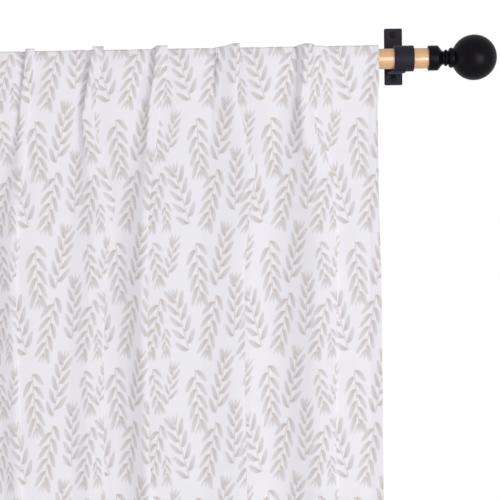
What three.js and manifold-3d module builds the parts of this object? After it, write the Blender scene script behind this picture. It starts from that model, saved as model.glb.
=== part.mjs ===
// A printed cotton curtain panel hung by hidden back tabs on a wooden pole, with the pole's two wall
// brackets and ball finials. Millimetres: +X runs along the pole to the right, +Y goes to the wall,
// +Z is up, and the origin is the centre of the back face of the right-hand wall plate.

import * as THREE from "three";
import { mergeVertices } from "three/addons/utils/BufferGeometryUtils.js";
import Module from "manifold-3d";

const wasm = await Module();
wasm.setup();

// ---------------------------------------------------------------- driving sizes

const SEAT_GAP = 0.3; // left between two pieces that touch
const ROUND_SIDES = 40; // flats round a turned piece

const POLE = { radius: 17.5, length: 1250, y: -93, z: -7, inFinial: 14 };
const BARE_POLE = { inside: 27.6, outside: 25.3 }; // cloth to ring, and ring to finial

const PLATE = { width: 32, height: 100, thickness: 4, corner: 2.5, bevel: 0.8 };
// An arm's top lies `top` below the pole's axis, and a ring's middle `offset` outwards from its plate's.
const ARM = { width: 22, thickness: 4.5, top: 19.8, pastPole: 9 };
const RING = { outer: 22.2, length: 33.5, offset: 8.4, chamfer: 0.7 };
const SCREW = { head: 6, headHeight: 3.4, shank: 2.4, fromCentre: 39 };
const SLOT = { length: 6, width: 1.3, depth: 1.4 };

const CLOTH = { width: 1270, length: 2134, thickness: 1.6, top: 15.5, fromPole: 2 };
const HEADING = { depth: 30, leansBack: 6 }; // the strip above the pole that tips towards the wall
const SWING_BACK = { amount: 10, from: 120, to: 700 }; // the hanging cloth settles under the pole
const DRIFT_DEPTH = 210; // the folds come to their lower places over about this depth
const RELAX_DEPTH = 160; // a pinch opens into a soft fold over this depth
const LEVELS = { from: 60, to: 420 }; // where the flat stretches part into nearer and further ones
const GIVES_UP = { from: 250, to: 700 }; // where a fold lets go of cloth that it takes only at the heading
const EDGE_CURL = { length: 14, angle: 65, from: 40, to: 110, eases: 230, flat: 520 }; // the right-hand edge

const TAB = { width: 45, thickness: 1.5, loose: 1.5, turn: 4, lowerEnd: -38, lowerTurn: -25 };
const TAB_TOP = { turnY: -10.5, endZ: 10 }; // from the pole's axis

// The folds, from the left edge of the cloth to the right. `pinch` is the depth to which a fold stays tight,
// `lift` how far its crest raises the top edge, `behind` and `ahead` how far forward the flat cloth to its
// left and to its right comes low down, and `slow` how long it keeps its place before it drifts.
const FOLDS = table(
  ["pinch", "lift", "behind", "ahead", "slow"],
  [
    [70, 5, 4, 14, 1.25],
    [80, 4, 14, 0, 1.25],
    [60, 6, 4, 12, 1.25],
    [62, 4, 0, 6, 1.9],
    [100, 5.5, 6, 0, 1.35],
    [80, 5, 0, 14, 1.9],
    [60, 7, 14, 10, 1.6],
    [90, 4, 0, 14, 1.9],
  ],
);

// The same folds at the heading and low down. `at` is how far the left foot lies from the right edge of the
// cloth and `takes` the width of flat cloth that the fold uses up. A fold climbs at `rise` degrees between
// bends of radius `foot` and `brow`, runs level for `top`, and falls at `fall` degrees between two bends of
// radius `lip`; past 90 degrees it turns back under its crest.
const FOLD_COLUMNS = ["at", "takes", "rise", "fall", "foot", "brow", "top", "lip"];
const AT_HEADING = table(FOLD_COLUMNS, [
  [941.8, 29, 76, 114, 4, 2.5, 12, 2.2],
  [831.8, 26, 80, 116, 3, 2.2, 13, 2.2],
  [719.8, 29, 30, 150, 4, 10, 5, 2.4],
  [604, 15, 82, 116, 2.5, 2, 12, 2],
  [492.8, 27.5, 84, 116, 5, 2.2, 16, 2],
  [394.2, 28, 70, 116, 14, 2.4, 17, 2.2],
  [276.8, 39, 24, 158, 3, 16, 3, 2.4],
  [149.4, 18.5, 50, 60, 12, 4, 8, 4],
]);
const LOW_DOWN = table(FOLD_COLUMNS, [
  [997.8, 19, 36, 70, 16, 18, 2, 8],
  [887.8, 22, 16, 108, 14, 20, 2, 3],
  [792.8, 24, 30, 100, 12, 18, 2, 4],
  [673.8, 13.5, 32, 112, 28, 12, 2, 3],
  [549.8, 21.5, 17, 130, 40, 24, 22, 3],
  [463.8, 25, 38, 150, 46, 14, 2, 3],
  [315.8, 38.5, 13, 150, 40, 80, 2, 3],
  [186.8, 15, 27, 95, 70, 50, 20, 4],
]);

// Rows of the cloth's mesh, as depths below the top edge.
const ROW_DEPTHS = [
  0, 10, 22, 45, 75, 110, 145, 180, 225, 285, 360, 460, 580, 740, 960, 1260, 1660, CLOTH.length,
];
const STEPS = { foot: 2, side: 1, brow: 2, top: 1, lip: 3, flat: 3, curl: 2 };

// ---------------------------------------------------------------- places worked out from them

const ringRightEnd = RING.offset + RING.length / 2;
const finialBaseX = ringRightEnd + BARE_POLE.outside;
const poleCentreX = finialBaseX + POLE.inFinial - POLE.length / 2;
const clothRightX = RING.offset - RING.length / 2 - BARE_POLE.inside;
const leftPlateX = 2 * poleCentreX;
const clothBackY = POLE.y - POLE.radius - CLOTH.fromPole;
const clothMiddleY = clothBackY - CLOTH.thickness / 2;

// ---------------------------------------------------------------- helpers

function table(columns, rows) {
  return rows.map((row) => Object.fromEntries(columns.map((name, i) => [name, row[i]])));
}

function smoothstep(from, to, value) {
  return THREE.MathUtils.smoothstep(value, from, to);
}

function material(colour, roughness, metalness) {
  return new THREE.MeshStandardMaterial({ color: colour, roughness, metalness });
}

function mesh(name, geometry, look, position) {
  const made = new THREE.Mesh(geometry, look);
  made.name = name;
  if (position) made.position.set(...position);
  return made;
}

/** A closed geometry as a manifold-3d solid. */
function solidOf(geometry) {
  const bare = geometry.clone();
  bare.deleteAttribute("normal");
  bare.deleteAttribute("uv");
  const merged = mergeVertices(bare, 1e-4);
  return new wasm.Manifold(
    new wasm.Mesh({
      numProp: 3,
      vertProperties: merged.attributes.position.array,
      triVerts: new Uint32Array(merged.index.array),
    }),
  );
}

/** A manifold-3d solid as a geometry. */
function geometryOf(solid) {
  const made = solid.getMesh();
  const geometry = new THREE.BufferGeometry();
  geometry.setAttribute("position", new THREE.BufferAttribute(made.vertProperties, made.numProp));
  geometry.setIndex(new THREE.BufferAttribute(made.triVerts, 1));
  geometry.computeVertexNormals();
  return geometry;
}

/** Turns an extrusion so that its outline lies in the Y-Z plane and its length along +X. */
function alongX(geometry) {
  const [x, y, z] = [new THREE.Vector3(1, 0, 0), new THREE.Vector3(0, 1, 0), new THREE.Vector3(0, 0, 1)];
  return geometry.applyMatrix4(new THREE.Matrix4().makeBasis(y, z, x));
}

/** Turns an extrusion so that its outline lies in the X-Z plane and its length runs away from the wall. */
function awayFromWall(geometry) {
  return geometry.rotateX(Math.PI / 2);
}

function roundedRectangle(width, height, corner) {
  const shape = new THREE.Shape();
  const [x, y] = [width / 2 - corner, height / 2 - corner];
  shape.absarc(x, y, corner, 0, Math.PI / 2);
  shape.absarc(-x, y, corner, Math.PI / 2, Math.PI);
  shape.absarc(-x, -y, corner, Math.PI, 1.5 * Math.PI);
  shape.absarc(x, -y, corner, 1.5 * Math.PI, 2 * Math.PI);
  return shape;
}

// ---------------------------------------------------------------- the cloth

/** A column's value at the heading, going over to its value low down. */
function blended(row, column, share) {
  return THREE.MathUtils.lerp(AT_HEADING[row][column], LOW_DOWN[row][column], share);
}

/** The bends and straights across one fold, at a depth below the top edge. */
function foldAt(row, depth, step) {
  const fold = FOLDS[row];
  const opened = smoothstep(fold.pinch, fold.pinch + RELAX_DEPTH, depth);
  const [rise, fall] = ["rise", "fall"].map((side) => THREE.MathUtils.degToRad(blended(row, side, opened)));
  const [foot, brow, top, lip] = ["foot", "brow", "top", "lip"].map((piece) => blended(row, piece, opened));
  const takes = blended(row, "takes", smoothstep(GIVES_UP.from, GIVES_UP.to, depth));
  // A bend of radius r through a uses up r (a - sin a) more cloth than width and climbs r (1 - cos a), and a
  // straight of length s uses up s (1 - cos a) and climbs s sin a. The two straights are the ones with which
  // the fold takes its cloth and its right foot stands one step further forward than its left.
  const [onRise, onFall] = [foot + brow, 2 * lip];
  const [lostRise, lostFall] = [1 - Math.cos(rise), 1 - Math.cos(fall)];
  const climb = step - onRise * lostRise + onFall * lostFall;
  const spare = takes - onRise * (rise - Math.sin(rise)) - onFall * (fall - Math.sin(fall));
  const both = Math.sin(rise) * lostFall + Math.sin(fall) * lostRise;
  const up = (climb * lostFall + spare * Math.sin(fall)) / both;
  const down = (spare * Math.sin(rise) - climb * lostRise) / both;
  return {
    height: onRise * lostRise + up * Math.sin(rise),
    pieces: [
      { length: foot * rise, turn: rise, steps: STEPS.foot },
      { length: up, turn: 0, steps: STEPS.side },
      { length: brow * rise, turn: -rise, steps: STEPS.brow },
      { length: top, turn: 0, steps: STEPS.top },
      { length: lip * fall, turn: -fall, steps: STEPS.lip },
      { length: down, turn: 0, steps: STEPS.side },
      { length: lip * fall, turn: fall, steps: STEPS.lip },
    ],
  };
}

/** Goes on from the last point along the bends and straights, raising each point by its height's share. */
function follow(points, pieces, liftPerHeight) {
  const foot = points[points.length - 1];
  let { x, forward, slope } = foot;
  for (const piece of pieces) {
    const half = piece.turn / piece.steps / 2;
    const chord = (piece.length / piece.steps) * (half ? Math.sin(half) / half : 1);
    for (let step = 0; step < piece.steps; step++) {
      x += chord * Math.cos(slope + half);
      forward += chord * Math.sin(slope + half);
      slope += 2 * half;
      points.push({ x, forward, slope, lift: (forward - foot.forward) * liftPerHeight });
    }
  }
}

/** Goes on to the next fold, easing from one stretch's distance forward to the other's. */
function followFlat(points, endX, endForward) {
  const start = points[points.length - 1];
  for (let step = 1; step <= STEPS.flat; step++) {
    const share = step / STEPS.flat;
    const x = THREE.MathUtils.lerp(start.x, endX, share);
    const forward = THREE.MathUtils.lerp(start.forward, endForward, smoothstep(0, 1, share));
    points.push({ x, forward, slope: 0, lift: 0 });
  }
}

/** The whole width of the cloth at one depth, and the middles of its flat stretches. */
function sectionAt(depth) {
  const levelled = smoothstep(LEVELS.from, LEVELS.to, depth);
  const givenUp = smoothstep(GIVES_UP.from, GIVES_UP.to, depth);
  const taken = FOLDS.reduce((sum, _, row) => sum + blended(row, "takes", givenUp), 0);
  const leftX = clothRightX - CLOTH.width + taken;
  const points = [{ x: leftX, forward: FOLDS[0].behind * levelled, slope: 0, lift: 0 }];
  const middles = [];
  FOLDS.forEach((fold, row) => {
    const moved = 1 - Math.exp(-((depth / DRIFT_DEPTH) ** fold.slow));
    const footX = clothRightX - blended(row, "at", moved);
    middles.push((points[points.length - 1].x + footX) / 2);
    followFlat(points, footX, fold.behind * levelled);
    const { height, pieces } = foldAt(row, depth, (fold.ahead - fold.behind) * levelled);
    follow(points, pieces, fold.lift / height);
  });
  const last = points[points.length - 1];
  middles.push((last.x + clothRightX) / 2);
  followFlat(points, clothRightX - EDGE_CURL.length, last.forward);
  const curled = smoothstep(EDGE_CURL.from, EDGE_CURL.to, depth);
  const eased = smoothstep(EDGE_CURL.eases, EDGE_CURL.flat, depth);
  const turn = -THREE.MathUtils.degToRad(EDGE_CURL.angle) * (curled - eased);
  follow(points, [{ length: EDGE_CURL.length, turn, steps: STEPS.curl }], 0);
  return { points, middles };
}

/** How far the cloth as a whole lies behind its plane in front of the pole. */
function setBack(depth) {
  const tipped = HEADING.leansBack * (1 - Math.min(depth / HEADING.depth, 1)) ** 2;
  return tipped + SWING_BACK.amount * smoothstep(SWING_BACK.from, SWING_BACK.to, depth);
}

/** A box with one cell for each step of the section and each row, its corners moved onto the hung cloth. */
function curtainPanel() {
  const sections = ROW_DEPTHS.map((depth) => sectionAt(depth).points);
  const columns = sections[0].length - 1;
  const rows = ROW_DEPTHS.length - 1;
  const geometry = new THREE.BoxGeometry(1, 1, 1, columns, 1, rows);
  const corners = geometry.attributes.position;
  for (let i = 0; i < corners.count; i++) {
    const column = Math.round((corners.getX(i) + 0.5) * columns);
    const row = Math.round((0.5 - corners.getZ(i)) * rows);
    const toFront = -Math.sign(corners.getY(i)) * (CLOTH.thickness / 2);
    const point = sections[row][column];
    const depth = ROW_DEPTHS[row];
    const lift = point.lift * (1 - smoothstep(0, RELAX_DEPTH, depth));
    corners.setXYZ(
      i,
      point.x - toFront * Math.sin(point.slope),
      clothMiddleY + setBack(depth) - point.forward - toFront * Math.cos(point.slope),
      CLOTH.top - depth + lift,
    );
  }
  return geometry;
}

// ---------------------------------------------------------------- the back tabs

/** A strip of even thickness along a line in the Y-Z plane, as an outline. */
function stripOutline(line, thickness) {
  const side = (sign) =>
    line.map((point, i) => {
      const before = line[Math.max(i - 1, 0)];
      const after = line[Math.min(i + 1, line.length - 1)];
      const along = after.clone().sub(before).normalize();
      return new THREE.Vector2(-along.y, along.x).multiplyScalar((sign * thickness) / 2).add(point);
    });
  return new THREE.Shape([...side(1), ...side(-1).reverse()]);
}

/** One loop: up the back of the cloth, round the pole, and down behind the heading, from the pole's axis. */
function backTab() {
  const inner = POLE.radius + TAB.loose;
  const radius = inner + TAB.thickness / 2;
  const centreZ = POLE.radius + SEAT_GAP - inner;
  const behindCloth = SEAT_GAP + TAB.thickness / 2;
  const clothBackFromPole = clothBackY - POLE.y;
  const lowerY = clothBackFromPole + behindCloth;
  const endDepth = CLOTH.top - POLE.z - TAB_TOP.endZ;
  const line = new THREE.Path();
  line.moveTo(lowerY, TAB.lowerEnd);
  line.lineTo(lowerY, TAB.lowerTurn);
  line.absarc(lowerY + TAB.turn, TAB.lowerTurn, TAB.turn, Math.PI, Math.PI / 2, true);
  line.absarc(0, centreZ, radius, -Math.PI / 2, Math.PI / 2);
  line.absarc(TAB_TOP.turnY, centreZ + radius - TAB.turn, TAB.turn, Math.PI / 2, Math.PI);
  line.lineTo(clothBackFromPole + setBack(endDepth) + behindCloth, TAB_TOP.endZ);
  const outline = stripOutline(line.getPoints(6), TAB.thickness);
  const geometry = new THREE.ExtrudeGeometry(outline, { depth: TAB.width, bevelEnabled: false });
  return alongX(geometry).translate(-TAB.width / 2, 0, 0);
}

// ---------------------------------------------------------------- the pole and its ends

/** The pole's finial, standing on its cup's rim and turned about +Y. */
function finial() {
  const bore = POLE.radius + SEAT_GAP;
  const floor = POLE.inFinial + SEAT_GAP;
  const ball = { radius: 39, centre: 78.9, meetsRing: 17.4 };
  const ballStart = Math.asin(ball.meetsRing / ball.radius);
  const profile = new THREE.Path();
  profile.moveTo(0, floor);
  profile.lineTo(bore, floor);
  profile.lineTo(bore, 0);
  profile.lineTo(20.8, 0);
  profile.lineTo(21.5, 0.8);
  profile.lineTo(21.5, 16.4);
  profile.quadraticCurveTo(19.6, 18.4, 17.4, 20);
  profile.quadraticCurveTo(12.6, 22.6, 11.3, 26.2);
  profile.lineTo(12.4, 27.4);
  profile.quadraticCurveTo(16.0, 30.4, 12.2, 33.4);
  profile.lineTo(11.6, 35.3);
  profile.lineTo(15.4, 37);
  profile.quadraticCurveTo(17.4, 38, 17.4, 40.4);
  profile.lineTo(ball.meetsRing, ball.centre - ball.radius * Math.cos(ballStart));
  profile.absarc(0, ball.centre, ball.radius, ballStart - Math.PI / 2, Math.PI / 2);
  const points = profile.getPoints(5);
  const last = points[points.length - 1];
  last.x = 0;
  return new THREE.LatheGeometry(points, ROUND_SIDES);
}

function pole() {
  return new THREE.CylinderGeometry(POLE.radius, POLE.radius, POLE.length, ROUND_SIDES).rotateZ(Math.PI / 2);
}

// ---------------------------------------------------------------- the brackets

/** Plate, arm and ring in one piece, from the middle of the plate's back; hand is +1 right and -1 left. */
function bracket(hand) {
  const shape = roundedRectangle(PLATE.width, PLATE.height, PLATE.corner);
  for (const side of [-1, 1]) {
    const hole = new THREE.Path();
    hole.absarc(0, side * SCREW.fromCentre, SCREW.shank + SEAT_GAP + PLATE.bevel, 0, 2 * Math.PI, true);
    shape.holes.push(hole);
  }
  const plate = new THREE.ExtrudeGeometry(shape, {
    depth: PLATE.thickness - 2 * PLATE.bevel,
    bevelThickness: PLATE.bevel,
    bevelSize: PLATE.bevel,
    bevelOffset: -PLATE.bevel,
    bevelSegments: 1,
    curveSegments: 6,
  });
  awayFromWall(plate).translate(0, -PLATE.bevel, 0);

  const armLength = -POLE.y + ARM.pastPole - PLATE.thickness / 2;
  const arm = new THREE.BoxGeometry(ARM.width, armLength, ARM.thickness);
  arm.translate(0, -PLATE.thickness / 2 - armLength / 2, POLE.z - ARM.top - ARM.thickness / 2);

  const [half, bore] = [RING.length / 2, POLE.radius + SEAT_GAP];
  const profile = [
    new THREE.Vector2(bore, -half),
    new THREE.Vector2(RING.outer - RING.chamfer, -half),
    new THREE.Vector2(RING.outer, -half + RING.chamfer),
    new THREE.Vector2(RING.outer, half - RING.chamfer),
    new THREE.Vector2(RING.outer - RING.chamfer, half),
    new THREE.Vector2(bore, half),
    new THREE.Vector2(bore, -half),
  ];
  const ring = new THREE.LatheGeometry(profile, ROUND_SIDES).rotateZ(Math.PI / 2);
  ring.translate(hand * RING.offset, POLE.y, POLE.z);
  return geometryOf(solidOf(plate).add(solidOf(arm)).add(solidOf(ring)));
}

/** A domed wall screw with a cross slot, from the middle of its head's underside, its head facing -Y. */
function screw() {
  const profile = new THREE.Path();
  profile.moveTo(0, PLATE.thickness);
  profile.lineTo(SCREW.shank, PLATE.thickness);
  profile.lineTo(SCREW.shank, 0);
  profile.lineTo(SCREW.head, 0);
  profile.quadraticCurveTo(SCREW.head, -SCREW.headHeight, 0, -SCREW.headHeight);
  const round = new THREE.LatheGeometry(profile.getPoints(5).reverse(), ROUND_SIDES / 2);
  const cut = (width, height) =>
    solidOf(new THREE.BoxGeometry(width, 2 * SLOT.depth, height).translate(0, -SCREW.headHeight, 0));
  const slots = cut(SLOT.length, SLOT.width).add(cut(SLOT.width, SLOT.length));
  return geometryOf(solidOf(round).subtract(slots));
}

// ---------------------------------------------------------------- the part

const looks = {
  cloth: material(0xf1eff2, 0.9, 0),
  wood: material(0xdcb98a, 0.45, 0),
  blackWood: material(0x2a2a2d, 0.5, 0),
  blackMetal: material(0x333238, 0.45, 0.6),
};

const group = new THREE.Group();
group.name = "curtain_panel_on_a_rod";

group.add(mesh("curtain_panel", curtainPanel(), looks.cloth));
sectionAt(0).middles.forEach((x, i) => {
  group.add(mesh(`back_tab_${i + 1}`, backTab(), looks.cloth, [x, POLE.y, POLE.z]));
});
group.add(mesh("rod", pole(), looks.wood, [poleCentreX, POLE.y, POLE.z]));

for (const [side, hand, plateX] of [
  ["left", -1, leftPlateX],
  ["right", 1, 0],
]) {
  const endPlace = [plateX + hand * finialBaseX, POLE.y, POLE.z];
  const end = mesh(`finial_${side}`, finial(), looks.blackWood, endPlace);
  end.rotation.z = (-hand * Math.PI) / 2;
  group.add(end);

  group.add(mesh(`bracket_${side}`, bracket(hand), looks.blackMetal, [plateX, 0, 0]));
  for (const [level, up] of [
    ["upper", 1],
    ["lower", -1],
  ]) {
    const place = [plateX, -PLATE.thickness - SEAT_GAP, up * SCREW.fromCentre];
    group.add(mesh(`screw_${side}_${level}`, screw(), looks.blackMetal, place));
  }
}

export default group;
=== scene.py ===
import math

import bmesh
import bpy
import numpy as np
from mathutils import Matrix, Vector


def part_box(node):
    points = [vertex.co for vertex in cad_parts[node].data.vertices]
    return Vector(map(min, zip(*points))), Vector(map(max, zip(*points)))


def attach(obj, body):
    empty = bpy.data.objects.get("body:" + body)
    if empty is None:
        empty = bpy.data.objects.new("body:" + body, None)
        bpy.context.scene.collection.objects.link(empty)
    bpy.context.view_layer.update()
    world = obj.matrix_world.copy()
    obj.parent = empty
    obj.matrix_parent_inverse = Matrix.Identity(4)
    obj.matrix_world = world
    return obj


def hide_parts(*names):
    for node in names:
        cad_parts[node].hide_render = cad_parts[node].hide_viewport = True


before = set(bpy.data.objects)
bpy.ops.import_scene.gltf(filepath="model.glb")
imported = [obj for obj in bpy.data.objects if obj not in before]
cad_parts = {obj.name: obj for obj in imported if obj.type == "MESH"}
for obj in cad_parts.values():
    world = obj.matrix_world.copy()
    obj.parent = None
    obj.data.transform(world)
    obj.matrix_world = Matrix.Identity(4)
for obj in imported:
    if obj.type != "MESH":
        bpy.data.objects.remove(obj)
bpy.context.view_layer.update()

# A printed cotton curtain panel on a wooden pole. Shapes are worked out in millimetres in the frame's axes:
# +X runs along the pole to the right, +Y goes to the wall and +Z is up.

# -------------------------------- places read from the frame

METRE = 1000.0
SAME_PLACE = 2e-6  # metres between points that are joined
SEAT_GAP = 0.3  # left between pieces that touch


def box_mm(node):
    """A node's lowest and highest corners, in millimetres."""
    low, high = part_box(node)
    return np.array(low) * METRE, np.array(high) * METRE


def table(columns, rows):
    """Rows of values as dictionaries with named columns."""
    return [dict(zip(columns, row)) for row in rows]


POLE_LOW, POLE_HIGH = box_mm("rod")
POLE_Y, POLE_Z = (POLE_LOW[1:] + POLE_HIGH[1:]) / 2
POLE_RADIUS = (POLE_HIGH[2] - POLE_LOW[2]) / 2
CLOTH_LOW, CLOTH_HIGH = box_mm("curtain_panel")
CLOTH_RIGHT = CLOTH_HIGH[0]

# -------------------------------- sizes of the cloth

# `top` is the height of the flat cloth's top edge, `solid` the CAD cloth's thickness, `from_pole` how far its
# back hangs in front of the pole, and `in_front` how far the thin sheet hangs in front of its middle.
CLOTH = {"width": 1270.0, "length": 2134.0, "top": 15.5, "solid": 1.6, "from_pole": 2.0, "in_front": 0.5}
HEADING = {"depth": 30.0, "leans_back": 6.0}
SWING_BACK = {"amount": 10.0, "from": 120.0, "to": 700.0}
DRIFT_DEPTH = 210.0

# The right edge curls back between the depths `from` and `to`, and flattens between `eases` and `flat`.
EDGE_CURL = {"length": 14.0, "angle": 65.0, "from": 40.0, "to": 110.0, "eases": 230.0, "flat": 520.0}
RELAX_DEPTH = 160.0  # over which a fold opens

# A hem's cloth is `turned` over a bend of radius `round`. At a side hem the front stands a `step` forward,
# which goes over in `eases` to each side of the hem's inner edge.
SIDE_HEM = {"turned": 20.0, "round": 0.35, "step": 0.35, "eases": 0.8}
TOP_HEM = {"turned": 26.0, "round": 0.7}
FOOT_HEM = {"turned": 76.0, "round": 0.7}
TURN_ANGLES = np.radians([30, 60, 90, 120, 150, 180])
LAYS_INSIDE = 0.75  # the share of its offset by which a layer already turned is turned more tightly

# The folds from the left. Each stays shut down to its `pinch`, and its crest stands `lift` higher than the
# flat cloth at the top. Low down its left foot hangs `behind` forward of the middle, and its right foot
# `ahead`. Going down it drifts sideways, as 1 - exp(-(depth / DRIFT_DEPTH)^slow).
FOLDS = table(
    ["pinch", "lift", "behind", "ahead", "slow"],
    [
        [70, 5, 4, 14, 1.25],
        [80, 4, 14, 0, 1.25],
        [60, 6, 4, 12, 1.25],
        [62, 4, 0, 6, 1.9],
        [100, 5.5, 6, 0, 1.35],
        [80, 5, 0, 14, 1.9],
        [60, 7, 14, 10, 1.6],
        [90, 4, 0, 14, 1.9],
    ],
)

# A fold's left foot is `at` from the panel's right edge, and it `takes` up that much more cloth than width.
# Its left side climbs at `rise` degrees and its right side drops at `fall`. The left side's bends have the
# radii `foot` and `brow`, the right side's both have `lip`, and `top` is the straight between the sides.
FOLD_COLUMNS = ["at", "takes", "rise", "fall", "foot", "brow", "top", "lip"]
AT_HEADING = table(
    FOLD_COLUMNS,
    [
        [941.8, 29.0, 76, 114, 4, 2.5, 12, 2.2],
        [831.8, 26.0, 80, 116, 3, 2.2, 13, 2.2],
        [719.8, 29.0, 30, 150, 4, 10, 5, 2.4],
        [604.0, 15.0, 82, 116, 2.5, 2, 12, 2],
        [492.8, 27.5, 84, 116, 5, 2.2, 16, 2],
        [394.2, 28.0, 70, 116, 14, 2.4, 17, 2.2],
        [276.8, 39.0, 24, 158, 3, 16, 3, 2.4],
        [149.4, 18.5, 50, 60, 12, 4, 8, 4],
    ],
)
LOW_DOWN = table(
    FOLD_COLUMNS,
    [
        [997.8, 19.0, 36, 70, 16, 18, 2, 8],
        [887.8, 22.0, 16, 108, 14, 20, 2, 3],
        [792.8, 24.0, 30, 100, 12, 18, 2, 4],
        [673.8, 13.5, 32, 112, 28, 12, 2, 3],
        [549.8, 21.5, 17, 130, 40, 24, 22, 3],
        [463.8, 25.0, 38, 150, 46, 14, 2, 3],
        [315.8, 38.5, 13, 150, 40, 80, 2, 3],
        [186.8, 15.0, 27, 95, 70, 50, 20, 4],
    ],
)
LEVELS = {"from": 60.0, "to": 420.0}  # the depths between which the feet move to `behind` and `ahead`
GIVES_UP = {"from": 250.0, "to": 700.0}  # the depths between which the cloth taken up changes

# How many chords draw each bend and straight of a fold, a flat stretch and the curl.
STEPS = {"foot": 7, "side": 5, "brow": 6, "top": 3, "lip": 6, "flat": 14, "curl": 6}
ROWS_OF_CLOTH = 190
EVENLY_SPACED = 0.3  # the share of the rows' spacing that doesn't grow going down

# Soft creases beside the folds, each along a line on the flat cloth. `rises` is how far a ridge stands out of
# the front, or a trough, with its minus sign, goes in; `width` is the distance to a third of that.
CREASES = table(
    ["across", "down", "to_across", "to_down", "width", "rises"],
    [
        [652, -20, 650, 45, 5.0, 3.0],
        [937, -30, 937, 105, 4.5, 3.5],
        [1169, -30, 1173, 150, 5.0, 2.5],
        [1086, 50, 1070, 230, 8.0, -2.5],
        [774, 45, 756, 105, 4.0, -1.5],
        [535, 36, 517, 120, 4.0, -3.0],
        [658, 36, 642, 120, 4.0, -2.0],
        [785, 30, 765, 120, 3.0, -3.5],
        [255, 10, 236, 120, 5.0, 2.5],
        [536, -16, 533, 70, 3.0, -2.6],
        [660, -16, 656, 70, 3.0, -2.6],
        [796, -16, 792, 70, 3.0, -2.6],
        [930, -16, 930, 90, 2.5, -2.0],
        [1109, -16, 1112, 110, 4.0, -2.0],
        [676, -12, 676, 16, 4.0, -1.8],
        [762, -12, 758, 14, 5.0, -1.6],
        [842, -12, 840, 14, 6.0, -1.5],
        [925, -12, 925, 14, 4.0, -1.6],
        [1052, -12, 1050, 15, 5.0, -1.6],
        [1190, -12, 1190, 15, 5.0, -1.8],
        [1236, -12, 1236, 15, 4.0, -1.8],
    ],
)

# -------------------------------- shapes as arrays


def smoothstep(low, high, value):
    """0 below low, 1 above high, and 3 t^2 - 2 t^3 between."""
    t = np.clip((value - low) / (high - low), 0, 1)
    return t * t * (3 - 2 * t)


def blended(row, column, share):
    """A column's value at the heading, going over to its value low down."""
    start, end = AT_HEADING[row][column], LOW_DOWN[row][column]
    return start + (end - start) * share


def fold_pieces(row, depth, step):
    """The bends and straights across one fold, each as its length and turn at every depth.

    A bend of radius r through a uses up r (a - sin a) more cloth than width and climbs r (1 - cos a). A
    straight of length s at that slope uses up s (1 - cos a) and climbs s sin a. So the two straights are the
    ones at which the fold takes its cloth, and its right foot stands one step further forward than its left:
    up sin r - down sin f = climb, and up (1 - cos r) + down (1 - cos f) = spare.
    """
    fold = FOLDS[row]
    opened = smoothstep(fold["pinch"], fold["pinch"] + RELAX_DEPTH, depth)
    rise, fall = (np.radians(blended(row, side, opened)) for side in ("rise", "fall"))
    foot, brow, top, lip = (blended(row, column, opened) for column in ("foot", "brow", "top", "lip"))
    takes = blended(row, "takes", smoothstep(GIVES_UP["from"], GIVES_UP["to"], depth))
    on_rise, on_fall = foot + brow, 2 * lip
    lost_rise, lost_fall = 1 - np.cos(rise), 1 - np.cos(fall)
    climb = step - on_rise * lost_rise + on_fall * lost_fall
    spare = takes - on_rise * (rise - np.sin(rise)) - on_fall * (fall - np.sin(fall))
    both = np.sin(rise) * lost_fall + np.sin(fall) * lost_rise
    up = (climb * lost_fall + spare * np.sin(fall)) / both
    down = (spare * np.sin(rise) - climb * lost_rise) / both
    none = np.zeros_like(depth)
    pieces = [
        (foot * rise, rise, STEPS["foot"]),
        (up, none, STEPS["side"]),
        (brow * rise, -rise, STEPS["brow"]),
        (top, none, STEPS["top"]),
        (lip * fall, -fall, STEPS["lip"]),
        (down, none, STEPS["side"]),
        (lip * fall, fall, STEPS["lip"]),
    ]
    return on_rise * lost_rise + up * np.sin(rise), pieces


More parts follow.
